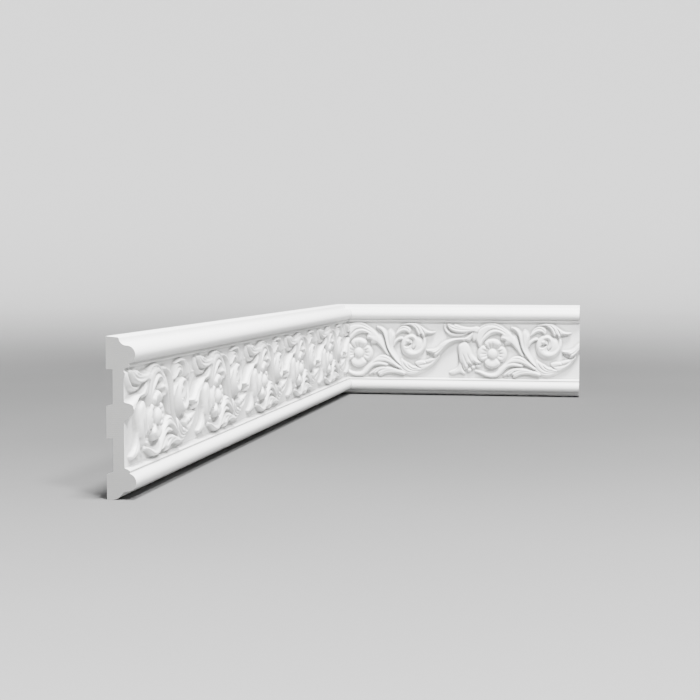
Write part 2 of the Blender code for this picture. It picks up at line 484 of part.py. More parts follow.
class Length:
    """One length of the moulding: where it runs, and how deep its front is at any place."""

    def __init__(self, name, run_from, run_to, flower_at, place, scroll):
        self.name = name
        self.run_from = run_from
        self.run_to = run_to
        self.flower_at = flower_at
        self.place = place
        self.scroll = scroll

    def is_carved(self, depth, z):
        return depth >= FIELD_DEPTH and CARVED_FROM < z < CARVED_TO

    def point(self, run, depth, z):
        if self.is_carved(depth, z):
            height = self.scroll.at(run - self.flower_at, z)
            depth = max(depth + min(height, 0), FIELD_DEPTH + height)
        return self.place(run, depth, z) * METRES

    def swept(self, outline):
        """The outline carried along the run in even stations; the carved points weigh 1."""
        mesh = bmesh.new()
        weight = mesh.verts.layers.deform.verify()
        stations = round((self.run_to - self.run_from) / STATION)
        runs = [self.run_from + (self.run_to - self.run_from) * i / stations for i in range(stations + 1)]
        ring = [mesh.verts.new(self.point(runs[0], depth, z)) for depth, z in outline]
        edges = list(mesh.faces.new(ring).edges)
        for run in runs[1:]:
            grown = bmesh.ops.extrude_edge_only(mesh, edges=edges)["geom"]
            ring = [item for item in grown if isinstance(item, bmesh.types.BMVert)]
            edges = [item for item in grown if isinstance(item, bmesh.types.BMEdge)]
            for vert, (depth, z) in zip(ring, outline):
                vert.co = self.point(run, depth, z)
                vert[weight][0] = float(self.is_carved(depth, z) and run < self.run_to)
        mesh.faces.new(ring)
        return mesh

    def finished(self, mesh, material, kept):
        """Puts the length in the scene, with facets only where the carving needs them."""
        bmesh.ops.dissolve_limit(mesh, angle_limit=COPLANAR, verts=mesh.verts, edges=mesh.edges)
        bmesh.ops.triangulate(mesh, faces=mesh.faces)
        bmesh.ops.recalc_face_normals(mesh, faces=mesh.faces)
        data = bpy.data.meshes.new(self.name)
        mesh.to_mesh(data)
        mesh.free()
        data.materials.append(material)
        piece = bpy.data.objects.new(self.name, data)
        piece.vertex_groups.new(name="carved")
        bpy.context.collection.objects.link(piece)
        fewer = piece.modifiers.new("fewer_facets", "DECIMATE")
        fewer.ratio = kept
        fewer.vertex_group = "carved"
        fewer.vertex_group_factor = 1000


def cut_mitre(mesh, point, normal):
    """Cuts away what lies past the plane and closes the cut."""
    weight = mesh.verts.layers.deform.verify()
    everything = mesh.verts[:] + mesh.edges[:] + mesh.faces[:]
    cut = bmesh.ops.bisect_plane(mesh, geom=everything, plane_co=point, plane_no=normal,
                                 clear_outer=True, dist=1e-7)["geom_cut"]
    for vert in [item for item in cut if isinstance(item, bmesh.types.BMVert)]:
        vert[weight][0] = 0.0
    bmesh.ops.contextual_create(mesh, geom=[item for item in cut if isinstance(item, bmesh.types.BMEdge)])


def primed_material():
    material = bpy.data.materials.new("primed_foam")
    material.use_nodes = True
    shader = material.node_tree.nodes["Principled BSDF"]
    shader.inputs["Base Color"].default_value = PRIMED
    shader.inputs["Roughness"].default_value = 0.6
    shader.inputs["Metallic"].default_value = 0.0
    return material


def on_side_wall(run, depth, z):
    return Vector((depth, run, z))


def on_end_wall(run, depth, z):
    return Vector((run, -depth, z))


def build():
    for item in list(bpy.data.objects):
        bpy.data.objects.remove(item)
    scroll = Scroll()
    outline = section()
    material = primed_material()
    corner = Vector((1, 1, 0)).normalized()

    long_length = Length("long_length", -LONG_RUN, PAST_CORNER, LONG_FLOWER, on_side_wall, scroll)
    mesh = long_length.swept(outline)
    cut_mitre(mesh, Vector((0, 0, 0)), corner)
    long_length.finished(mesh, material, LONG_KEPT)

    short_length = Length("short_length", -PAST_CORNER, SHORT_RUN, SHORT_FLOWER, on_end_wall, scroll)
    mesh = short_length.swept(outline)
    cut_mitre(mesh, corner * MITRE_GAP * METRES, -corner)
    short_length.finished(mesh, material, SHORT_KEPT)


build()
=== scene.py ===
# The looks of a corner of carved panel moulding: two primed lengths, mitred at an inside corner.
import math

import bmesh
import bpy
import numpy as np
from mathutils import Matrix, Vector


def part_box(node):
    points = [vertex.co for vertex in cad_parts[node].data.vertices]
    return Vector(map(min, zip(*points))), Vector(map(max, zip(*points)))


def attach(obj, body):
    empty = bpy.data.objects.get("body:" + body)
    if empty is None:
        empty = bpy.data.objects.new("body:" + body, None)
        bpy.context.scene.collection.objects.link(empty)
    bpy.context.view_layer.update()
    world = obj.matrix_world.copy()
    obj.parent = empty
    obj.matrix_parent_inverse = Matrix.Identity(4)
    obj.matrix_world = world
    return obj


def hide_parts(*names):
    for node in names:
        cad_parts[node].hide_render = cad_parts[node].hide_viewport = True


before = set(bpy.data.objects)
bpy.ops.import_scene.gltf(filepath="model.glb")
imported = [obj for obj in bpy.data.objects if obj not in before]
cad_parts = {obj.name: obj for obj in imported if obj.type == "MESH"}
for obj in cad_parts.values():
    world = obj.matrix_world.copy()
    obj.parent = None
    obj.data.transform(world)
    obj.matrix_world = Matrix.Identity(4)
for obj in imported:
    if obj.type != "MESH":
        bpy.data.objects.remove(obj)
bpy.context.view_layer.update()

# Sizes in millimetres, read from the frame.
MM = 1000.0
METRES = 0.001
LONG_RUN = -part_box("long_length")[0].y * MM
SHORT_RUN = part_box("short_length")[1].x * MM
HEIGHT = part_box("long_length")[1].z * MM
MITRE_GAP = 0.3

# Section, as depth from the wall and height above the underside; the front is the same upside down.
# A sweep is an arc's first and last angle in degrees, and facets are the chords that it is drawn with.
FIELD_DEPTH = 11.2
FIELD_EDGE = 19.7
FIELD_RISE = ((1.2, 0.45), (2.2, 0.9))
FILLET_AT = (14.0, 82.35)
FILLET_RADIUS = 0.7
FILLET_SWEEP = (-70, 70)
FILLET_FACETS = 6
QUIRK = (14.1, 83.1)
TORUS_AT = (13.15, 89.0)
TORUS_RADIUS = 5.5
TORUS_SWEEP = (-75, 90)
TORUS_FACETS = 22
COVE_AT = (13.2, 99.5)
COVE_RADIUS = 5.0
COVE_SWEEP = (264, 204)
COVE_FACETS = 8
TOP_DEPTH = 7.0
TOP_NOSE = 0.3
TOP_FALL = 0.6
TOP_ROUND = 1.0
TOP_SWEEP = (0, 86)
TOP_FACETS = 4
BED_FALL = 1.0
BED_WIDTH = 3.5
CHANNELS = ((15.5, 17.0, 37.7), (57.5, 58.8, 79.9))
CHANNEL_DEPTH = 4.2

# Carving, in repeats of one scroll; its zero is the middle of a flower.
REPEAT = 148.59
COPIES = (-REPEAT, 0.0, REPEAT)
TILE_START = -48.6
TILE_STEP = 0.25
LONG_FLOWER = -722.8
SHORT_FLOWER = 26.77
FLOWER_AT = (-0.8, 46.3)
CARVED_FROM = 17.5
CARVED_TO = 82.5
LEAST_RISE = 0.01
INSIDE_REACH = 0.1
RIB_FOOTING = 1.5
BOSS_BLEND = 0.2
BROAD_DRAFT = 1.2
DRAFT = 2.4
MOUTH_FLOOR = -2.2
SOFTEN = 0.25

# A petal, in shares of its reach and of its half spread; the depth of its grooves is in millimetres.
PETAL_TAPER = 0.2
PETAL_SQUARENESS = 2.6
CUP_FROM = 0.3
CUP_SPAN = 0.45
RIM_FROM = 0.8
RIM_SPAN = 0.2
CLEFT_FLOOR = 0.25
CLEFT_SPAN = 0.25
CLEFT_POWER = 0.7
PETAL_FALL = 0.08
GROOVE_HALF = 0.18
GROOVE_DEPTH = 1.2
GROOVE_TO = 0.85
GROOVE_FADE = 0.3
PETAL_BLEND = 0.15

# Where painted shade lies: below the mean height around a point, and in the creases along the fillets.
HOLLOW_REACH = 2.5
QUIRK_REACH = 2.6
LEDGE_REACH = 1.1
PAINTED_GROOVE_SHADE = 0.7
TORUS_NOSE = 1.0

# How fine the carved surface of each length is: steps along the run and up the field, the share that
# thinning keeps, how firmly it keeps to the carving, and a wide net of points that it always keeps.
LONG_STEPS = (0.52, 0.42)
SHORT_STEPS = (0.36, 0.34)
LONG_KEPT = 0.42
SHORT_KEPT = 0.62
KEPT_WEIGHT = 1000
NET = 2.1
PAST_CORNER = 2.0
SHARP = math.radians(28)

# How near counts as touching: a point to the field, an edge's ends to the field's edge, and in metres
# a point to a cut.
AT_FIELD = 0.1
AT_FIELD_EDGE = 0.05
AT_CUT = 1e-6
CUT_WELD = 1e-7

# Finishes: colours, how strong the painted shade and the clouding show, and how deep the finest relief
# is, in metres.
PRIMER = (0.68, 0.68, 0.675)
# The grey that the primer is painted towards, as painted shade, where it lies hollow.
PAINTED_SHADE_GREY = (0.44, 0.44, 0.435)
CORE = (0.27, 0.27, 0.265)
CORE_DARK = (0.20, 0.20, 0.197)
FLOOR = (0.06, 0.06, 0.06)
WALL = (0.80, 0.80, 0.80)
PAINTED_SHADE_STRENGTH = 1.1
CLOUDING = 0.10
PEEL_DEPTH = 0.00006
PORE_DEPTH = 0.00008

# Camera, as fitted to the photograph, in millimetres and degrees.
CAMERA_AT = (301.86, -1634.39, 142.21)
CAMERA_LEFT = 10.008
CAMERA_DOWN = 3.232
LENS = 76.02
SENSOR = 36.0

# The studio: a round floor that sweeps up to a wall, in metres, and the lamps' power in watts.
FLOOR_RADIUS = 3.0
FLOOR_NEAR = 0.3
SWEEP_RADIUS = 1.2
SWEEP_FACETS = 12
WALL_HEIGHT = 3.6
ROUND_FACETS = 96
WORLD_LIGHT = 0.03
LIT_PLACE = (0.1, -0.3, 0.05)
KEY_AT = (1.15, -1.9, 1.85)
KEY_SIZE = 0.45
KEY_LIGHT = 190.0
OVERHEAD_AT = (0.5, -0.95, 2.6)
OVERHEAD_SIZE = 0.7
OVERHEAD_LIGHT = 480.0


def spline(points, closed=False, per_span=8):
    """A smooth line through the points."""
    points = np.array(points, float)
    if closed:
        padded = np.vstack([points[-1:], points, points[:2]])
    else:
        padded = np.vstack([2 * points[0] - points[1], points, 2 * points[-1] - points[-2]])
    k = np.linspace(0, 1, per_span, endpoint=False)[:, None]
    spans = []
    for a, b, c, d in zip(padded, padded[1:], padded[2:], padded[3:]):
        bend = (2 * a - 5 * b + 4 * c - d) * k**2 + (3 * b - a - 3 * c + d) * k**3
        spans.append(0.5 * (2 * b + (c - a) * k + bend))
    return np.vstack(spans + [padded[-2:-1]])


def along(values, t):
    """Values spread evenly over a stroke, read at the fraction t of its length."""
    values = np.atleast_1d(np.array(values, float))
    return np.interp(t, np.linspace(0, 1, len(values)), values)


class Carving:
    """Height above the field over one repeat, raised and cut stroke by stroke."""

    def __init__(self, x, z):
        self.x = x
        self.z = z
        self.height = np.zeros_like(x)

    def raise_to(self, near, height, blend):
        """Raises the places near to a height, with a soft crease where it meets what stands there."""
        old = self.height[near]
        gap = np.clip(1 - np.abs(old - height) / blend, 0, 1)
        raised = np.maximum(old, height) + blend * gap**2 / 4
        self.height[near] = np.where(height > LEAST_RISE, raised, old)

    def beside(self, path, reach):
        """The places near each copy of a line: their distance, fraction of its length and side."""
        marks = np.concatenate([[0], np.cumsum(np.hypot(*np.diff(path, axis=0).T))])
        for shift in COPIES:
            line = path + (shift, 0)
            low = line.min(axis=0) - reach
            high = line.max(axis=0) + reach
            inside = (self.x > low[0]) & (self.x < high[0]) & (self.z > low[1]) & (self.z < high[1])
            near = np.where(inside)
            x = self.x[near]
            z = self.z[near]
            best = np.full(x.shape, np.inf)
            t = np.zeros_like(x)
            side = np.zeros_like(x)
            within = np.zeros(x.shape, bool)
            for a, b, start, end in zip(line, line[1:], marks, marks[1:]):
                run = b - a
                k = np.clip(((x - a[0]) * run[0] + (z - a[1]) * run[1]) / (run @ run), 0, 1)
                dx = x - a[0] - k * run[0]
                dz = z - a[1] - k * run[1]
                far = np.hypot(dx, dz)
                closer = far < best
                best = np.where(closer, far, best)
                t = np.where(closer, (start + k * (end - start)) / marks[-1], t)
                side = np.where(closer, np.sign(run[0] * dz - run[1] * dx), side)
                if run[1]:
                    passes = (a[1] > z) != (b[1] > z)
                    within ^= passes & (x < a[0] + (z - a[1]) * run[0] / run[1])
            yield near, best, t, side, within

    def body(self, outline, rise, edge, lean=(0, 0), blend=0.5, power=0.4):
        """A filled shape inside a smooth closed outline, rounded at its edge and leaning evenly."""
        path = spline(outline, closed=True)
        middle = path.mean(axis=0)
        for near, far, _, _, within in self.beside(path, INSIDE_REACH):
            top = rise + lean[0] * (self.x[near] - middle[0]) + lean[1] * (self.z[near] - middle[1])
            top = top - lean[0] * REPEAT * np.round((self.x[near] - middle[0]) / REPEAT)
            s = np.clip(far / edge, 0, 1)
            self.raise_to(near, np.where(within, top * (1 - (1 - s) ** 2) ** power, 0), blend)

    def bar(self, spine, left, right, rise, power=(0.6, 0.6), blend=0.25):
        """A raised stroke with its crest on the spine and its own width and roundness on each side."""
        reach = max(np.max(left), np.max(right))
        for near, far, t, side, _ in self.beside(spline(spine), reach):
            width = np.where(side > 0, along(left, t), along(right, t))
            s = np.clip(far / width, 0, 1)
            self.raise_to(near, along(rise, t) * (1 - s**2) ** np.where(side > 0, *power), blend)

    def flute(self, spine, left, right, depth, sharp=1.5):
        """A groove along the spine, with its own width on each side."""
        for near, far, t, side, _ in self.beside(spline(spine), max(np.max(left), np.max(right))):
            width = np.where(side > 0, along(left, t), along(right, t))
            s = np.clip(far / width, 0, 1)
            groove = along(depth, t) * (1 - s) ** sharp
            self.height[near] = np.maximum(self.height[near] - groove, 0)

    def pit(self, outline, depth, edge, floor=0.0):
        """A hollow inside a smooth closed outline, steep at its edge and level at its floor."""
        for near, far, _, _, within in self.beside(spline(outline, closed=True), INSIDE_REACH):
            s = np.clip(far / edge, 0, 1)
            sunk = self.height[near] - depth * s * (2 - s)
            self.height[near] = np.where(within, np.maximum(sunk, floor), self.height[near])

    def rib(self, spine, width, height):
        """A soft ridge added to what lies under the spine."""
        for near, far, t, _, _ in self.beside(spline(spine), np.max(width)):
            s = np.clip(far / along(width, t), 0, 1)
            there = np.clip(self.height[near] / RIB_FOOTING, 0, 1)
            self.height[near] += along(height, t) * (1 - s**2) ** 2 * there

    def boss(self, x, z, across, up, rise, foot=0.0, power=0.5):
        """A domed oval."""
        for shift in COPIES:
            s = np.hypot((self.x - x - shift) / across, (self.z - z) / up)
            near = np.where(s < 1)
            self.raise_to(near, foot + (rise - foot) * (1 - s[near] ** 2) ** power, BOSS_BLEND)

    def petal(self, turn, half, reach, rise, grooves, foot=0.42):
        """A cupped petal that points along turn and spreads half to each side, in degrees."""
        x = self.x - FLOWER_AT[0]
        z = self.z - FLOWER_AT[1]
        a = ((np.degrees(np.arctan2(z, x)) - turn + 180) % 360 - 180) / half
        near = np.where((np.abs(a) < 1) & (np.hypot(x, z) < reach))
        a = a[near]
        edge = reach * (1 - PETAL_TAPER * np.abs(a) ** PETAL_SQUARENESS)
        s = np.clip(np.hypot(x, z)[near] / edge, 0, 1)
        cup = foot + (1 - foot) * np.sin(np.pi / 2 * np.clip((s - CUP_FROM) / CUP_SPAN, 0, 1)) ** 2
        rim = np.sqrt(1 - np.clip((s - RIM_FROM) / RIM_SPAN, 0, 1) ** 2)
        cleft = np.clip((1 - np.abs(a)) / CLEFT_SPAN, 0, 1) ** CLEFT_POWER
        between = CLEFT_FLOOR + (1 - CLEFT_FLOOR) * cleft
        body = rise * cup * rim * between * (1 - PETAL_FALL * a**2)
        for groove in grooves:
            dip = np.clip(1 - np.abs(a - groove) / GROOVE_HALF, 0, 1) ** 1.5
            body = body - GROOVE_DEPTH * dip * np.clip((GROOVE_TO - s) / GROOVE_FADE, 0, 1)
        self.raise_to(near, np.maximum(body, 0), PETAL_BLEND)

    def draft(self, slope):
        """Slopes the lower side of every form down to the field, as it leaves the mould."""
        fall = slope * (self.z[1, 0] - self.z[0, 0])
        for row in range(len(self.height) - 2, -1, -1):
            self.height[row] = np.maximum(self.height[row], self.height[row + 1] - fall)


def wave_leaf(c):
    """The fluted leaf that sweeps along the bottom and up under the trumpet."""
    c.body([(45.4, 33), (45.8, 38), (47, 40.8), (48.6, 39.6), (50.4, 38.6), (53, 37), (56.2, 35.4),
            (59.4, 33), (62, 32.6), (61.8, 35.4), (63.4, 37.6), (67.6, 38.6), (72, 38.6), (75, 39.6),
            (79, 41), (83.6, 41.6), (86.6, 42.8), (89.2, 44.8), (89.6, 43), (87.6, 40.2), (85.4, 37),
            (82, 33.6), (77.6, 30.6), (72, 27.2), (67, 24.4), (61, 22.6), (55, 22.7), (50, 24),
            (46.6, 26.6), (44.4, 30)], 4.2, 2.2, lean=(0.02, 0.05))


def trumpet(c):
    """The fluted trumpet leaf and the stem that carries it."""
    c.body([(74.6, 50.4), (77.4, 51), (81, 51.2), (84.4, 52), (87.6, 54), (91, 57.4), (95, 60.2),
            (99, 61.8), (104, 63.2), (110, 63.8), (118, 63.8), (118, 61.8), (112, 61.4), (107, 60.2),
            (103, 58.2), (99, 55.4), (96, 52.8), (93, 49.8), (90, 46.4), (87, 43.8), (84.6, 42.8),
            (83, 43.6), (83, 45.8), (81, 47), (78.4, 47.8), (76, 49)], 6.6, 3, lean=(-0.016, 0))


def volute(c):
    """The rolled volute: a snail's coil that sinks towards its eye."""
    c.boss(62, 55.4, 10.8, 9.8, 4.3, power=0.35)
    c.bar([(72.8, 62), (72.4, 56), (69.8, 50.4), (65.4, 46.7), (60.4, 45.6), (55.6, 46.9), (52.3, 50.3),
           (50.8, 55), (51.6, 59.8), (54.6, 63.4), (58.8, 64.6), (62.2, 62.4), (63, 58.4), (62, 54)],
          (1.8, 2.2, 3.6, 5.4, 4.4, 3, 1.8), (2.6, 4, 6, 6, 5, 4, 3),
          (3.4, 4.2, 5.2, 5.6, 5.6, 5.3, 5.2, 5.2, 4.8), (0.6, 1.1), 1.2)


def volute_grooves(c):
    """The winding line of the coil and the lobes beside its eye."""
    c.boss(53.6, 60, 4.2, 3, 5.8)
    c.boss(52.8, 52.2, 3.4, 2.5, 5.9)
    c.flute([(55.2, 62.8), (57.6, 62.3), (59.3, 60.4), (59.6, 57.6), (58.8, 54.8), (58.6, 52.4),
             (59.8, 50.9), (61.6, 51.8), (63.2, 54.4)],
            (0.9, 1.1, 1.1, 0.9), (0.9, 1.2, 1.4, 1.2), (0.8, 2, 2.2, 2.2, 3.0, 0.6))
    c.flute([(70.6, 63), (70.6, 59), (69.6, 55)], 1, 1.4, (1.4, 1.0, 0))
    c.rib([(61, 57), (63.4, 60.4), (62, 64.2), (57, 65.6), (52, 63.8)], 1.6, (0, 0.5, 0.7, 0.5, 0))


def trumpet_grooves(c):
    """The flutes of the trumpet and of the leaf under it."""
    c.flute([(77.6, 49.4), (82, 49.2), (85.2, 50.2), (88, 52), (92, 55.4), (96, 58), (100, 59.8)],
            (0.7, 0.8, 0.8), (1.2, 1.7, 1.4), (0.9, 1.1, 1, 0.6, 0))
    c.flute([(83, 46.6), (86, 47.8), (89, 50.2), (92, 53.2), (95.4, 55.8)],
            (0.7, 0.8, 0.7), (1.2, 1.7, 1.2), (1.4, 1.2, 0.9, 0))
    c.flute([(83.4, 42.4), (86, 42.8), (88.6, 45), (91, 48)],
            (0.7, 0.9, 0.7), (1.2, 1.6, 1.2), (3, 2.6, 1.4, 0), 1.2)
    c.flute([(43.8, 31), (46, 28.6), (49.4, 26.2), (53.4, 24.9), (58, 24.4)],
            0.7, (1.2, 1.4, 1), (1.4, 1, 0.6, 0))
    c.flute([(46, 33.6), (47.6, 30.6), (50.6, 27.8), (54.6, 26), (59, 25.3), (65, 25.4), (71, 27.2),
             (76, 29.6)], 0.7, (1.2, 1.5, 1.2), (0.8, 0.9, 0.9, 0.5, 0.8, 0.4))
    c.flute([(48, 38.6), (49.4, 35), (52, 31.6), (55.6, 28.9), (60, 27.3), (65, 27), (70, 27.9),
             (75.4, 29.6)], (0.7, 0.9, 0.8), (1.2, 1.7, 1.4), (0.6, 1.3, 1.3, 0.8, 1.2, 0.4))
    c.flute([(53.2, 35.6), (55.2, 32.6), (58.2, 30.2), (62, 28.9), (67, 28.6)],
            (0.7, 0.9, 0.7), (1.2, 1.6, 1.2), (0.9, 1.3, 0.9, 0))
    c.flute([(61.6, 35.8), (63.4, 33.4), (65.6, 31.5), (69, 29.8)],
            (0.8, 1, 0.8), (1.4, 1.8, 1.2), (4.2, 3.8, 2.4, 0.4), 1.2)
    c.flute([(66.6, 33.2), (70.6, 34), (75, 34.9), (79.6, 36.5), (84, 39.4)],
            (0.9, 1.2, 0.9), (1.8, 2.4, 1.6), (0.6, 1.3, 1.3, 0.4), 1.3)
    c.flute([(72.8, 39), (73.8, 37.2), (75.4, 35.6)], 0.8, 0.7, (1.8, 1.6, 0.6))


def curled_leaf(c):
    """The leaf that springs back from the knot and curls up to two tips."""
    c.bar([(94.9, 77.6), (95.4, 74.6), (97, 71.6), (99.8, 69), (103.6, 67.5), (108.4, 66.9),
           (113, 67.3), (116.6, 68.2), (120, 69.2)],
          (1.2, 1.6, 1.8, 1.8, 1.2), (1.1, 1.5, 1.6, 1.5, 1), (2.4, 3.4, 3.4, 3.2, 2.6), (0.7, 0.45))
    c.body([(98, 79), (98, 77.2), (99.4, 74.9), (101.9, 72.4), (105.6, 70.6), (110.4, 69.5),
            (115.6, 69.2), (120, 69.5), (124.4, 70.1), (128.4, 70.2), (132, 69.4), (134.4, 74.6),
            (130.6, 76.8), (125, 76), (119, 76.2), (113.6, 77.2), (109.6, 78.6), (106.4, 79.3),
            (104.6, 78.1), (101.6, 79), (99.6, 79.5)], 5.3, 2, lean=(0.005, -0.06), blend=2)
    c.flute([(99.8, 77.6), (102.4, 75.6), (106, 74.2), (110, 73.4), (115, 72.9), (120, 72.7),
             (125, 73)], (0.7, 0.9, 0.8), (1.2, 1.5, 1.4), (1.1, 1.2, 0.8, 0.4, 0))
    c.flute([(104.4, 78.4), (106, 76.8), (109, 75.6), (113, 74.9), (118, 74.5)],
            (0.6, 0.8, 0.6), (1, 1.4, 1.2), (0.9, 0.7, 0.5, 0))


def knot(c):
    """The bulb that ends the stem, from which the leaves and the bell spring."""
    c.body([(116.8, 64), (119.6, 65.7), (123, 68.3), (125.4, 70.4), (127.4, 70.6), (127.2, 67.4),
            (126, 64.4), (124.6, 62), (123, 60.2), (121, 59.9), (118.6, 60.7), (117, 62.2)],
           5.2, 3.2, lean=(0, 0.04), blend=1.6)
    c.body([(126, 68.6), (127, 71.8), (129.4, 73.4), (131.8, 72.6), (131.8, 68), (130.8, 64),
            (129.6, 60.8), (127.8, 60.2), (126, 61), (125.2, 64.4)],
           4.6, 2.8, lean=(0, 0.06), blend=2.2)
    c.flute([(117.8, 65.4), (117, 62.8), (118, 60)], 0.8, 0.7, (0.6, 1, 0.6))
    c.flute([(119.4, 62), (122.4, 63.6), (125.6, 66.4)], 1.3, 1.2, (0.2, 0.5, 0.1))


def arching_leaf(c):
    """The leaf that springs from the knot, arches over the flower and runs down to the stem."""
    c.bar([(11, 64.6), (15, 62.6), (19, 60.6), (23, 57), (26.8, 52), (29.8, 47.6), (32.2, 44.6)],
          (2, 7, 10, 8, 5, 3, 1.4), (2, 3, 2.4, 2, 1.7, 1.4, 1), (5.2, 5.4, 5, 4.4, 4, 3.6, 3),
          (1.3, 0.42), 1)
    c.body([(-15.2, 53.4), (-17, 56.6), (-18.6, 60), (-19.5, 64), (-19.3, 68.4), (-18, 72.2),
            (-15.4, 75.6), (-12, 78), (-7.6, 79.5), (-2, 80.2), (3, 79.9), (8, 78.1), (12, 75.5),
            (16, 72.4), (20, 68.4), (22, 64), (20, 58), (16, 57), (12.8, 57.6), (13, 60.2), (13, 62),
            (10.6, 62.2), (8.4, 62.6), (8, 64.6), (9, 66.4), (9.2, 67.8), (7.4, 68.7), (4.4, 69),
            (1.4, 68.6), (-2, 67.2), (-5, 65.3), (-7.6, 62.7), (-9.8, 60.4), (-11.6, 57.6),
            (-12.8, 55.2)], 4.9, 2.4, lean=(0.004, 0.002), blend=2)
    c.flute([(-17.6, 61), (-17.8, 66), (-16.8, 70.4), (-14.2, 74), (-10.6, 76.4), (-6.6, 77.8),
             (-2, 78.3), (3, 77.6), (8, 75.4), (12.6, 72.5), (17, 69)],
            (0.9, 1, 0.8), (1.3, 1.7, 1.6), (0, 1.1, 1.8, 1.9, 1.6, 1.2, 0))
    c.flute([(-13.6, 58.6), (-12.6, 62.4), (-10.8, 66), (-8, 69.2), (-4.6, 72.2), (-0.6, 73.7),
             (3.4, 73.8), (7.6, 72.5), (11.4, 70.5), (15.4, 68)],
            (0.9, 1, 0.8), (1.3, 1.8, 1.7), (0, 1.2, 1.9, 2, 1.6, 1, 0))
    c.rib([(-9.6, 62), (-7, 66), (-3.6, 69.4), (0.4, 71.2), (4.4, 71.4), (8.6, 69.8), (11.6, 67.6)],
          1.9, (0.2, 0.6, 0.7, 0.5, 0.2))


def volute_leaves(c):
    """The leaves that lap over the volute, drooping to two tips on its far side."""
    c.body([(40.4, 66.2), (41.4, 70), (43.6, 73.6), (47, 76.1), (51, 76.9), (54.8, 75.9), (57.4, 73.2),
            (57.8, 70.4), (56.2, 67.7), (54, 69.7), (51, 70.6), (47.6, 70), (44.2, 68)],
           4.8, 2, lean=(0.02, -0.04))
    c.flute([(41.8, 69), (44.2, 72), (47.2, 74), (50.6, 74.6), (53.6, 73.6), (56, 71)],
            (0.7, 0.9, 0.7), (1, 1.5, 1.2), (0.4, 1.5, 1.7, 1.5, 0.8))
    c.body([(37.8, 53.6), (38.2, 57.4), (39.6, 61), (42.2, 63.6), (45.4, 65), (48.6, 64.4), (49, 62),
            (46.8, 61.2), (44, 59.9), (41.2, 57.2), (39.2, 54)], 4.4, 1.8, lean=(0.05, 0))
    c.flute([(39.8, 60.4), (42, 62.6), (44.8, 63.7), (47.6, 63.6)],
            0.6, (0.9, 1.2, 0.9), (0.4, 1.2, 1.2, 0.4))
    c.body([(46, 77), (48.6, 78.3), (52, 79.2), (57, 80), (63, 79.6), (67.4, 77.8), (71.4, 75),
            (75.6, 72.1), (79.8, 70.7), (84.8, 70.4), (82.4, 68.9), (78.6, 68), (75.4, 68.1),
            (73.4, 66.9), (71.8, 64.3), (70.4, 65.8), (69.2, 67.8), (67.2, 66.8), (65.4, 68),
            (63.8, 71), (61.6, 74.6), (58.6, 77), (54.4, 77.8), (50, 77.6)], 5, 1.4, lean=(0.01, 0))
    c.flute([(57.4, 79), (62, 77.6), (65.2, 74.6), (67, 71), (68.2, 67.6)],
            (0.8, 0.8, 0.7), (0.8, 1.1, 1.1), (0, 1.3, 1.6, 1.8))
    c.flute([(62, 78.9), (66.8, 76.7), (70, 73.4), (72, 69.8), (73.4, 66.8)],
            (0.8, 0.9, 0.8), (0.8, 1.1, 1.1), (0, 1.3, 1.7, 2.2))


def upright_leaf(c):
    """The two-pointed leaf beside the volute and the stem that it grows from."""
    c.body([(30, 64), (30.4, 70), (33.6, 74), (36, 73.6), (38.4, 71), (40.4, 66), (39.4, 60),
            (38.6, 54), (40.6, 47), (44.6, 40), (48, 34.6), (46.6, 32.4), (40, 37.4), (35, 44),
            (32, 50), (30.4, 57)],
           3, 4.2, blend=1.2, power=1)
    c.bar([(20, 75.6), (22.8, 74.4), (25.4, 72.4), (27.4, 69.6), (28.9, 65.6), (30, 60.6), (31.3, 55),
           (33.4, 49.8), (36.6, 44.8), (41, 39.2), (46.8, 33.2)],
          (1.6, 3.6, 4, 3.4, 2.8, 2.6, 2.4, 2, 1.6), (0.9, 1.1, 1.1, 0.9, 0.8, 0.8, 0.9, 1, 0.8),
          (4.2, 5.6, 6, 5.6, 5, 4.6, 4.4, 4), (0.9, 0.4), 0.9)
    c.flute([(22.6, 77), (26, 75.8), (28.8, 73), (30.4, 69), (31.4, 64)],
            (0.8, 1, 0.8), (1, 1.2, 1), (0.3, 0.7, 0.6, 0))
    c.rib([(34, 73.6), (33.7, 69), (33.8, 63), (34.6, 57)], 1.5, (0.5, 0.9, 0.6, 0))
    c.rib([(38.4, 68), (37, 63), (36.6, 58), (37.6, 52)], 1.5, (0.3, 0.9, 0.6, 0))


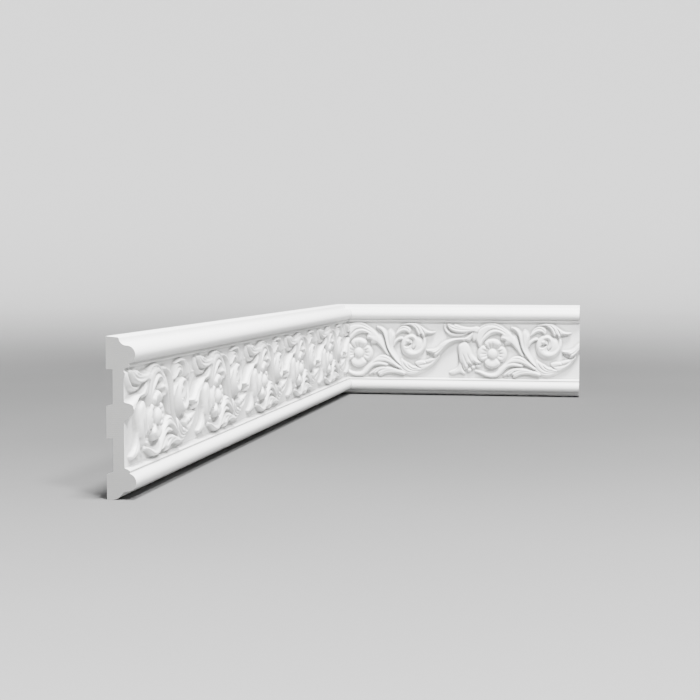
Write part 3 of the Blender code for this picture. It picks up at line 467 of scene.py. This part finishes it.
def wave_stem(c):
    """The stem that rolls under the flower and opens into three fluted lobes."""
    c.bar([(-19.4, 27.7), (-15, 26.6), (-10, 24.3), (-5, 22.5), (0, 22.1), (4.4, 23.1), (8.4, 26.2),
           (12, 30.2), (16, 33.4), (21, 34.7), (26, 34.3), (30.4, 33.6)],
          (1, 2.4, 4.2, 5.2, 5.6, 4.8, 4.4, 2.6), (0.9, 1.2, 1.3, 1.4, 1.7, 2, 2, 1.4),
          (3.2, 4.4, 4.6, 4.6, 4.8, 5, 5, 4.8), (0.9, 0.45))
    c.body([(11, 32), (14.6, 37), (18.4, 41), (23, 43.8), (28, 44.4), (33, 42.4), (37.6, 38.8),
            (42.4, 34.8), (47, 31), (45, 29.2), (40, 31.6), (35.6, 34), (31, 35.9), (26, 36.6),
            (21.6, 36.4), (17.4, 35.4)], 5, 2.2, lean=(0, -0.04))
    c.flute([(16.4, 38.6), (20.4, 40.9), (25, 41.8), (29.6, 41), (34, 38.6), (38.6, 35.2)],
            (0.8, 1, 0.8), (1.2, 1.5, 1.2), (0.2, 0.8, 0.8, 0.6, 0))
    c.body([(10.4, 22.8), (12.4, 25.2), (15.4, 27.6), (19, 29.8), (24, 31.4), (30, 31.6), (36, 30.6),
            (42, 29), (48, 27.4), (52, 24.8), (50, 22.8), (44, 23.6), (38, 24.4), (33, 24.2),
            (28.6, 23.2), (25, 21.5), (22.2, 20.8), (21.6, 22.8), (19.4, 24), (17, 23), (15.4, 23.6),
            (12.6, 22.6)], 4.6, 2, lean=(0.02, -0.03))
    c.flute([(15.4, 24.4), (18, 26.4), (21.6, 28.6), (26, 30)],
            (0.6, 0.8, 0.6), (1, 1.2, 0.8), (1.2, 0.8, 0))
    c.flute([(19.8, 24.6), (22.4, 26.9), (25.8, 28.2), (30, 28.8)],
            (0.7, 0.8, 0.6), (1.2, 1.6, 1), (2.4, 2.2, 1, 0))
    c.flute([(24, 23.4), (28, 25.4), (33, 26.8), (39, 27.2), (45, 26.2)],
            (0.8, 1, 0.8), (1, 1.2, 1), (0.3, 0.6, 0.4, 0))


def bell(c):
    """The bell that hangs from the knot, in folds, with three beads and a flared leaf at its foot."""
    c.body([(99.8, 25.9), (102.6, 27.8), (106.4, 29.2), (109.4, 31.4), (110.8, 35), (111.4, 40),
            (112.6, 42.4), (114.2, 40), (114.4, 35.4), (115, 31), (116.6, 27.4), (118.2, 24.2),
            (115.6, 24.2), (112.8, 25.4), (109.4, 24.7), (105.4, 23.4), (101.8, 23.8)],
           3.4, 1.6, lean=(0.05, 0.04))
    c.flute([(112.8, 41), (112.4, 36), (111.6, 31.6), (109, 28.6), (105.6, 27)],
            0.9, 1.2, (0.4, 1.3, 1.2, 0.8, 0))
    c.flute([(113.8, 38), (113.8, 33.6), (114.4, 30), (116, 26.6)], 0.8, 0.9, (0.4, 1.1, 1, 0.6))
    c.bar([(115, 41.4), (114.8, 37), (115.6, 32.6), (117, 29.4)],
          (1, 1.2, 1.2, 1), (0.8, 0.9, 0.9, 0.8), (4, 3.8, 3.8, 3.6), (0.7, 0.6))
    c.body([(109.5, 52.6), (110.3, 55.8), (112.6, 58), (116, 59), (119.4, 58.2), (122, 55.8),
            (123.8, 51.6), (126.2, 45.6), (130.4, 41.2), (134.4, 38), (135.6, 36.4), (133, 35.3),
            (129.4, 35.3), (127, 36.4), (125.6, 34.4), (123.4, 33.6), (121.6, 34.4), (121.3, 32),
            (120, 29.4), (118, 29.5), (116, 31.6), (114.6, 35), (113.2, 39), (111.2, 43), (109.8, 48)],
           5.4, 4, lean=(-0.02, 0), power=0.46)
    c.boss(117.4, 46.6, 6.4, 12.4, 6.2, 4.2, power=0.7)
    c.flute([(114.6, 48), (116.6, 43), (118.4, 38.4), (120, 34.6)],
            (1.2, 1.5, 1.2), (1.4, 1.8, 1.4), (0, 0.9, 1.1, 1.2))
    c.flute([(119.6, 48), (121.6, 43), (123.4, 39), (125.2, 36.2)],
            (1.2, 1.5, 1.2), (1.4, 1.8, 1.4), (0, 0.9, 1.1, 1.2))
    c.rib([(121.6, 52), (124.2, 46.6), (127.6, 42), (131.8, 38.4)], 2.2, (0, 0.5, 0.6, 0.3))
    c.boss(122.4, 28.4, 2.3, 2.2, 4.4)
    c.boss(126.7, 31.6, 2.2, 2.1, 4.6)
    c.boss(131.8, 32.8, 3.2, 1.7, 3)


def flower(c):
    """Four cupped petals round a button."""
    c.boss(FLOWER_AT[0], FLOWER_AT[1], 12.4, 12.6, 2.8, power=0.35)
    c.petal(176, 45, 16.8, 5.2, (-0.45, 0.06, 0.5))
    c.petal(0, 45, 15.9, 4.7, (-0.42, 0.05, 0.5))
    c.petal(268, 46, 15.9, 5.6, (), 0.72)
    c.petal(90, 44, 17.4, 6.0, (-0.7, -0.02, 0.42), 0.4)
    c.boss(FLOWER_AT[0], FLOWER_AT[1], 5.2, 6, 7.0, 3.0)


def hollows(c):
    """The deep dark places that the draft of the mould leaves open."""
    c.pit([(75.2, 48.8), (78.2, 47.6), (82.4, 46.4), (82.8, 44), (80.8, 42.2), (77.8, 43.4),
           (75.8, 46)], 8, 1.8, MOUTH_FLOOR)
    c.pit([(50.4, 54.2), (51.6, 56.4), (54.6, 57.7), (57.8, 57.7), (58.4, 56), (56, 54.2),
           (52.8, 53.2)], 3.6, 1.3)


def carve(x, z):
    """Height of the carving above the field, in millimetres, over one repeat."""
    c = Carving(x, z)
    for motif in (wave_leaf, trumpet, volute):
        motif(c)
    c.draft(BROAD_DRAFT)
    for motif in (volute_grooves, trumpet_grooves, arching_leaf, curled_leaf, knot, volute_leaves,
                  upright_leaf, wave_stem, bell, flower):
        motif(c)
    c.draft(DRAFT)
    hollows(c)
    return c.height


def softened(height, reach):
    """The tile averaged over a square; it repeats along the run."""
    for axis, mode in ((0, "edge"), (1, "wrap")):
        margin = [(0, 0), (0, 0)]
        margin[axis] = (reach, reach)
        padded = np.pad(height, margin, mode=mode)
        shifts = range(2 * reach + 1)
        rows = height.shape[axis]
        height = sum(np.take(padded, range(i, i + rows), axis=axis) for i in shifts) / len(shifts)
    return height


class Scroll:
    """One repeat of the carving and of how deep it lies hollow, which sets its painted shade, read at
    any place.
    """

    def __init__(self):
        self.x = np.arange(TILE_START, TILE_START + REPEAT, TILE_STEP)
        self.z = np.arange(CARVED_FROM, CARVED_TO, TILE_STEP)
        carved = carve(*np.meshgrid(self.x, self.z))
        self.height = softened(carved, round(SOFTEN / TILE_STEP))
        # Painted shade: the hollow tile is the depth under the mean height around a point, and greys
        # the primer there.
        around = softened(self.height, round(HOLLOW_REACH / TILE_STEP))
        self.hollow = np.clip(around - self.height, 0, None)

    def read(self, tile, run, z):
        """Values of a tile at runs from the middle of a flower and at heights z."""
        columns = len(self.x)
        across = ((run - TILE_START) % REPEAT) / TILE_STEP
        up = np.clip((z - CARVED_FROM) / TILE_STEP, 0, len(self.z) - 1.001)
        i = across.astype(int)
        j = up.astype(int)
        p = across - i
        q = up - j
        low = tile[j, i % columns] * (1 - p) + tile[j, (i + 1) % columns] * p
        high = tile[j + 1, i % columns] * (1 - p) + tile[j + 1, (i + 1) % columns] * p
        return low * (1 - q) + high * q


def arc(centre, radius, start, end, steps):
    """Points of an arc as (out, up), angles in degrees."""
    turns = [math.radians(start + (end - start) * i / steps) for i in range(steps + 1)]
    return [(centre[0] + radius * math.cos(t), centre[1] + radius * math.sin(t)) for t in turns]


def front_edge():
    """The upper front of the section, from the field's edge up and back to the wall."""
    edge = HEIGHT - FIELD_EDGE
    points = [(FIELD_DEPTH, edge)] + [(FIELD_DEPTH + out, edge + up) for out, up in FIELD_RISE]
    points += arc(FILLET_AT, FILLET_RADIUS, *FILLET_SWEEP, FILLET_FACETS)
    points += [QUIRK]
    points += arc(TORUS_AT, TORUS_RADIUS, *TORUS_SWEEP, TORUS_FACETS)
    points += arc(COVE_AT, COVE_RADIUS, *COVE_SWEEP, COVE_FACETS)
    top = (TOP_DEPTH + TOP_NOSE, HEIGHT - TOP_FALL - TOP_ROUND)
    points += arc(top, TOP_ROUND, *TOP_SWEEP, TOP_FACETS)
    return points + [(0, HEIGHT)]


def section():
    """The closed outline of the moulding as (depth, height), running up the front and down the back."""
    upper = front_edge()
    top_points = TOP_FACETS + 2
    lower = [(depth, HEIGHT - z) for depth, z in reversed(upper[:-top_points])]
    bed = [(0, 0), (BED_WIDTH, 0), (TOP_DEPTH, BED_FALL)]
    back = []
    for rib, floor, top in reversed(CHANNELS):
        back += [(0, top), (CHANNEL_DEPTH, top), (CHANNEL_DEPTH, floor), (0, rib)]
    return bed + lower + upper + back


class Length:
    """One length of the moulding: where it runs and how its mesh is made.

    Its cuts are the square end and the mitre, each a point and a normal.
    """

    def __init__(self, name, run_from, run_to, flower_at, to_world, to_run, steps, cuts):
        self.name = name
        self.run_from = run_from
        self.run_to = run_to
        self.flower_at = flower_at
        self.to_world = to_world
        self.to_run = to_run
        self.steps = steps
        self.cuts = cuts

    def bar(self):
        """The plain moulding, its field and the fillets beside it split into a fine net."""
        mesh = bmesh.new()
        start = self.run_from
        ring = [mesh.verts.new(self.to_world(start, depth, z) * METRES) for depth, z in section()]
        cap = mesh.faces.new(ring)
        middle = HEIGHT / 2 * METRES
        field = [edge for edge in cap.edges if self.is_in_front(edge.verts[0])
                 and min(v.co.z for v in edge.verts) < middle < max(v.co.z for v in edge.verts)]
        lines = round((HEIGHT - 2 * FIELD_EDGE) / self.steps[1])
        bmesh.ops.subdivide_edges(mesh, edges=field, cuts=lines - 1)
        run = self.to_world(self.run_to, 0, 0) - self.to_world(start, 0, 0)
        far = [mesh.verts.new(loop.vert.co + run * METRES) for loop in cap.loops]
        far_cap = mesh.faces.new(reversed(far))
        # The sides are bridged, because an extrusion orders them differently on each run.
        bmesh.ops.bridge_loops(mesh, edges=cap.edges[:] + far_cap.edges[:])
        long_edges = [edge for edge in mesh.edges if edge.calc_length() > HEIGHT * METRES
                      and all(self.is_carved(vert) for vert in edge.verts)]
        stations = round((self.run_to - start) / self.steps[0])
        bmesh.ops.subdivide_edges(mesh, edges=long_edges, cuts=stations - 1, use_grid_fill=True)
        return mesh

    def depth(self, vert):
        """How far a point stands off the wall, in millimetres."""
        return self.to_run(vert.co * MM)[1]

    def is_in_front(self, vert):
        """Whether a point lies on the face of the field or before it."""
        return self.depth(vert) > FIELD_DEPTH - AT_FIELD

    def is_carved(self, vert):
        """Whether a point lies where the carving may raise it."""
        return CARVED_FROM < vert.co.z * MM < CARVED_TO and self.is_in_front(vert)

    def carved(self, mesh, scroll):
        """Raises the carving out of the field."""
        verts = [vert for vert in mesh.verts if self.is_carved(vert)]
        places = np.array([(*self.to_run(vert.co * MM), vert.co.z * MM) for vert in verts])
        heights = scroll.read(scroll.height, places[:, 0] - self.flower_at, places[:, 2])
        depths = np.maximum(places[:, 1] + np.minimum(heights, 0), FIELD_DEPTH + heights)
        for vert, place, depth in zip(verts, places, depths):
            vert.co = self.to_world(place[0], depth, place[2]) * METRES

    def is_cut(self, item):
        """Whether all of an edge or face lies in the square end or in the mitre."""
        return any(lies_in(item, cut) for cut in self.cuts)

    def is_held(self, vert):
        """Whether a point lies on the wide net, which lets flat places shade evenly."""
        across = round((self.to_run(vert.co * MM)[0] - self.run_from) / self.steps[0])
        up = round((vert.co.z * MM - FIELD_EDGE) / self.steps[1])
        return across % round(NET / self.steps[0]) == 0 and up % round(NET / self.steps[1]) == 0

    def thinned(self, mesh, kept):
        """Leaves out the points that the carving can do without; the rest stay where they are."""
        weight = mesh.verts.layers.deform.verify()
        for vert in mesh.verts:
            at_cut = any(self.is_cut(edge) for edge in vert.link_edges)
            if self.is_carved(vert) and not at_cut and not self.is_held(vert):
                vert[weight][0] = 1.0
        data = bpy.data.meshes.new(self.name)
        mesh.to_mesh(data)
        piece = bpy.data.objects.new(self.name, data)
        bpy.context.collection.objects.link(piece)
        piece.vertex_groups.new(name="carved")
        fewer = piece.modifiers.new("fewer", "DECIMATE")
        fewer.ratio = kept
        fewer.vertex_group = "carved"
        fewer.vertex_group_factor = KEPT_WEIGHT
        thin = piece.evaluated_get(bpy.context.evaluated_depsgraph_get()).to_mesh()
        mesh.clear()
        mesh.from_mesh(thin)
        bpy.data.objects.remove(piece)
        bpy.data.meshes.remove(data)

    def painted_groove_shade(self, vert):
        """How much painted shade a point gets in the crease beside a fillet, above or below the field.
        """
        up = HEIGHT / 2 + abs(vert.co.z * MM - HEIGHT / 2)
        depth = self.depth(vert)
        if not self.is_in_front(vert) or depth > TORUS_AT[0] + TORUS_RADIUS - TORUS_NOSE:
            return 0.0
        quirk = 1 - abs(up - QUIRK[1]) / QUIRK_REACH
        ledge = 1 - abs(up - (HEIGHT - FIELD_EDGE)) / LEDGE_REACH
        if depth > FIELD_DEPTH + LEDGE_REACH:
            ledge = 0.0
        return PAINTED_GROOVE_SHADE * max(quirk, ledge, 0.0)

    def is_field_edge(self, edge):
        """Whether an edge lies along the field's upper or lower edge."""
        ups = [abs(vert.co.z * MM - HEIGHT / 2) for vert in edge.verts]
        return all(abs(up - HEIGHT / 2 + FIELD_EDGE) < AT_FIELD_EDGE for up in ups)

    def finished(self, mesh, scroll, finishes, node):
        """Notes the painted shade, marks crisp edges and cut faces, hangs the piece on the root and
        hides its part.
        """
        hollow = mesh.verts.layers.float.new("hollow")
        verts = [vert for vert in mesh.verts if self.is_carved(vert)]
        runs = np.array([self.to_run(vert.co * MM)[0] for vert in verts]) - self.flower_at
        heights = np.array([vert.co.z * MM for vert in verts])
        # Painted shade: each point keeps how far it lies below its surroundings, to grey the primer
        # there.
        for vert, low in zip(verts, scroll.read(scroll.hollow, runs, heights)):
            vert[hollow] = low
        # Painted shade along the creases beside the fillets, where shadow lines fall.
        for vert in mesh.verts:
            vert[hollow] += self.painted_groove_shade(vert)
        square_end = self.cuts[0]
        for face in mesh.faces:
            face.smooth = not self.is_cut(face)
            face.material_index = int(lies_in(face, square_end))
        for edge in mesh.edges:
            plain = self.is_field_edge(edge) or not all(self.is_carved(vert) for vert in edge.verts)
            crisp = plain and edge.calc_face_angle(0) > SHARP
            edge.smooth = not crisp and all(face.smooth for face in edge.link_faces)
        data = bpy.data.meshes.new(self.name)
        mesh.to_mesh(data)
        mesh.free()
        for finish in finishes:
            data.materials.append(finish)
        piece = bpy.data.objects.new(self.name, data)
        bpy.context.collection.objects.link(piece)
        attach(piece, "root")
        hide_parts(node)

    def make(self, scroll, finishes, kept, node):
        """All the work on one length, from the plain bar to the finished piece."""
        mesh = self.bar()
        self.carved(mesh, scroll)
        cut_mitre(mesh, *self.cuts[1])
        self.thinned(mesh, kept)
        self.finished(mesh, scroll, finishes, node)


def lies_in(item, plane):
    """Whether all of an edge or face lies in a plane, given as a point and a normal."""
    point, normal = plane
    return all(abs((vert.co - point).dot(normal)) < AT_CUT for vert in item.verts)


def cut_mitre(mesh, point, normal):
    """Cuts away what lies past the plane and closes the cut."""
    everything = mesh.verts[:] + mesh.edges[:] + mesh.faces[:]
    cut = bmesh.ops.bisect_plane(mesh, geom=everything, plane_co=point, plane_no=normal,
                                 clear_outer=True, dist=CUT_WELD)["geom_cut"]
    rim = [item for item in cut if isinstance(item, bmesh.types.BMEdge)]
    bmesh.ops.contextual_create(mesh, geom=rim)
    bmesh.ops.recalc_face_normals(mesh, faces=mesh.faces)


class Value:
    """A number that a shader works out; arithmetic on it adds Math nodes."""

    def __init__(self, shader, socket):
        self.shader = shader
        self.socket = socket

    def combine(self, operation, first, second):
        """A Math node on two numbers or sockets."""
        node = self.shader.node("ShaderNodeMath", {"operation": operation}, {0: first, 1: second})
        return Value(self.shader, node.outputs[0])

    def __add__(self, other):
        return self.combine("ADD", self, other)

    __radd__ = __add__

    def __sub__(self, other):
        return self.combine("SUBTRACT", self, other)

    def __rsub__(self, other):
        return self.combine("SUBTRACT", other, self)

    def __mul__(self, other):
        return self.combine("MULTIPLY", self, other)

    __rmul__ = __mul__

    def clamped(self):
        """The same number, held between 0 and 1."""
        node = self.shader.node("ShaderNodeClamp", {}, {"Value": self})
        return Value(self.shader, node.outputs[0])


class Finish:
    """A procedural material, built node by node."""

    def __init__(self, name):
        self.material = bpy.data.materials.new(name)
        self.material.use_nodes = True
        self.tree = self.material.node_tree
        self.surface = self.tree.nodes["Principled BSDF"]
        self.place = self.node("ShaderNodeTexCoord", {}, {}).outputs["Object"]

    def node(self, kind, settings, inputs):
        """Adds a node; settings are its own options, inputs are values or links by socket."""
        made = self.tree.nodes.new(kind)
        for name, value in settings.items():
            setattr(made, name, value)
        for name, value in inputs.items():
            self.feed(made.inputs[name], value)
        return made

    def feed(self, socket, value):
        """Links a value to a socket, or sets the socket where the value is plain."""
        if isinstance(value, Value):
            value = value.socket
        if isinstance(value, bpy.types.NodeSocket):
            self.tree.links.new(value, socket)
        else:
            socket.default_value = value

    def noise(self, scale, detail=2.0, roughness=0.5):
        """Even noise, its scale in waves to the metre."""
        inputs = {"Vector": self.place, "Scale": scale, "Detail": detail, "Roughness": roughness}
        made = self.node("ShaderNodeTexNoise", {"normalize": True}, inputs)
        return Value(self, made.outputs["Fac"])

    def colour(self, amount, low, high):
        """A mix of two colours."""
        made = self.node("ShaderNodeMix", {"data_type": "RGBA"},
                         {"Factor": amount, 6: (*low, 1), 7: (*high, 1)})
        return made.outputs[2]

    def bump(self, height, distance):
        """Fine relief of the surface, its depth in metres."""
        made = self.node("ShaderNodeBump", {}, {"Height": height, "Distance": distance})
        self.feed(self.surface.inputs["Normal"], made.outputs["Normal"])


def primed_finish():
    """Factory primer on cast foam: matte, faintly orange-peeled, with grey painted shade where it lies
    hollow.
    """
    finish = Finish("primed_skin")
    hollow = finish.node("ShaderNodeAttribute", {"attribute_name": "hollow"}, {}).outputs["Fac"]
    hollow = Value(finish, hollow)
    cloud = finish.noise(45.0, 3.0)
    peel = finish.noise(900.0, 2.0)
    grain = finish.noise(3200.0, 1.0)
    # Painted shade: the primer turns grey in the hollows and in the fillet creases, a little unevenly.
    painted_shade = (hollow * PAINTED_SHADE_STRENGTH * (cloud * 0.8 + 0.6)).clamped()
    shade = (painted_shade + (cloud - 0.5) * CLOUDING).clamped()
    finish.feed(finish.surface.inputs["Base Color"], finish.colour(shade, PRIMER, PAINTED_SHADE_GREY))
    rough = (cloud * 0.16 + peel * 0.08 + 0.42 + painted_shade * 0.2).clamped()
    finish.feed(finish.surface.inputs["Roughness"], rough)
    finish.surface.inputs["Specular IOR Level"].default_value = 0.35
    finish.bump(peel * 0.7 + grain * 0.3, PEEL_DEPTH)
    return finish.material


def core_finish():
    """The cut end: closed foam, a little darker than the primer, with fine pores and saw lines."""
    finish = Finish("cut_core")
    cells = finish.node("ShaderNodeTexVoronoi", {"feature": "F1"},
                        {"Vector": finish.place, "Scale": 1700.0})
    pores = Value(finish, cells.outputs["Distance"])
    cloud = finish.noise(160.0, 3.0)
    lines = finish.node("ShaderNodeTexWave", {"wave_type": "BANDS", "bands_direction": "Z"},
                        {"Vector": finish.place, "Scale": 260.0, "Distortion": 1.5, "Detail": 2.0})
    saw = Value(finish, lines.outputs["Fac"])
    shade = ((1 - pores) * 0.30 + cloud * 0.35 + saw * 0.10 - 0.15).clamped()
    finish.feed(finish.surface.inputs["Base Color"], finish.colour(shade, CORE, CORE_DARK))
    finish.surface.inputs["Roughness"].default_value = 0.85
    finish.surface.inputs["Specular IOR Level"].default_value = 0.25
    finish.bump(pores * 0.7 + saw * 0.3, PORE_DEPTH)
    return finish.material


def studio_finish():
    """A grey floor that grows slowly lighter until it has swept up to the wall."""
    finish = Finish("pale_studio")
    length = finish.node("ShaderNodeVectorMath", {"operation": "LENGTH"}, {0: finish.place})
    out = Value(finish, length.outputs["Value"])
    far = ((out - FLOOR_NEAR) * (1 / (FLOOR_RADIUS + SWEEP_RADIUS - FLOOR_NEAR))).clamped()
    shade = (far * far * (3 - far * 2) + finish.noise(3.0, 3.0) * 0.02).clamped()
    finish.feed(finish.surface.inputs["Base Color"], finish.colour(shade, FLOOR, WALL))
    finish.surface.inputs["Roughness"].default_value = 0.8
    finish.surface.inputs["Specular IOR Level"].default_value = 0.05
    return finish.material


def on_side_wall(run, depth, z):
    """The place of a point of the long length, which runs along the side wall."""
    return Vector((depth, run, z))


def off_side_wall(place):
    """Run and depth of a place on the long length."""
    return place.y, place.x


def on_end_wall(run, depth, z):
    """The place of a point of the short length, which runs along the end wall."""
    return Vector((run, -depth, z))


def off_end_wall(place):
    """Run and depth of a place on the short length."""
    return place.x, -place.y


def moulding():
    """Both lengths, mitred together at the inside corner."""
    scroll = Scroll()
    finishes = (primed_finish(), core_finish())
    corner = Vector((1, 1, 0)).normalized()
    middle = Vector((0, 0, 0))
    beside = corner * MITRE_GAP * METRES
    far_end = (on_side_wall(-LONG_RUN, 0, 0) * METRES, Vector((0, 1, 0)))
    near_end = (on_end_wall(SHORT_RUN, 0, 0) * METRES, Vector((1, 0, 0)))

    long_length = Length("long_moulding", -LONG_RUN, PAST_CORNER, LONG_FLOWER, on_side_wall,
                         off_side_wall, LONG_STEPS, (far_end, (middle, corner)))
    long_length.make(scroll, finishes, LONG_KEPT, "long_length")

    short_length = Length("short_moulding", -PAST_CORNER, SHORT_RUN, SHORT_FLOWER, on_end_wall,
                          off_end_wall, SHORT_STEPS, (near_end, (beside, -corner)))
    short_length.make(scroll, finishes, SHORT_KEPT, "short_length")


def studio():
    """The floor and wall, turned from one half profile."""
    mesh = bmesh.new()
    sweep = arc((FLOOR_RADIUS, SWEEP_RADIUS), SWEEP_RADIUS, -90, 0, SWEEP_FACETS)
    profile = [(0.0, 0.0)] + sweep + [(FLOOR_RADIUS + SWEEP_RADIUS, WALL_HEIGHT)]
    line = [mesh.verts.new((out, 0, up)) for out, up in profile]
    edges = [mesh.edges.new(pair) for pair in zip(line, line[1:])]
    bmesh.ops.spin(mesh, geom=line + edges, axis=(0, 0, 1), cent=(0, 0, 0), angle=2 * math.pi,
                   steps=ROUND_FACETS, use_merge=True)
    bmesh.ops.remove_doubles(mesh, verts=mesh.verts, dist=0.0001)
    bmesh.ops.recalc_face_normals(mesh, faces=mesh.faces)
    for face in mesh.faces:
        face.smooth = True
    data = bpy.data.meshes.new("studio")
    mesh.to_mesh(data)
    mesh.free()
    data.materials.append(studio_finish())
    piece = bpy.data.objects.new("studio", data)
    bpy.context.collection.objects.link(piece)


def area_light(name, at, size, watts):
    """A round soft lamp that is aimed at the moulding."""
    light = bpy.data.lights.new(name, "AREA")
    light.shape = "DISK"
    light.size = size
    light.energy = watts
    lamp = bpy.data.objects.new(name, light)
    bpy.context.collection.objects.link(lamp)
    lamp.location = at
    lamp.rotation_euler = (Vector(LIT_PLACE) - Vector(at)).to_track_quat("-Z", "Y").to_euler()


def lights():
    """Faint even light all round, a key lamp on the right and a large lamp overhead."""
    world = bpy.data.worlds.new("studio")
    bpy.context.scene.world = world
    world.use_nodes = True
    background = world.node_tree.nodes["Background"]
    background.inputs["Color"].default_value = (1, 1, 1, 1)
    background.inputs["Strength"].default_value = WORLD_LIGHT
    area_light("key", KEY_AT, KEY_SIZE, KEY_LIGHT)
    area_light("overhead", OVERHEAD_AT, OVERHEAD_SIZE, OVERHEAD_LIGHT)


def camera():
    """The camera that took the photograph, as it was fitted."""
    lens = bpy.data.cameras.new("camera")
    lens.sensor_width = SENSOR
    lens.lens = LENS
    eye = bpy.data.objects.new("camera", lens)
    bpy.context.collection.objects.link(eye)
    eye.location = Vector(CAMERA_AT) * METRES
    eye.rotation_euler = (math.radians(90 - CAMERA_DOWN), 0, math.radians(CAMERA_LEFT))
    bpy.context.scene.camera = eye


moulding()
studio()
lights()
camera()
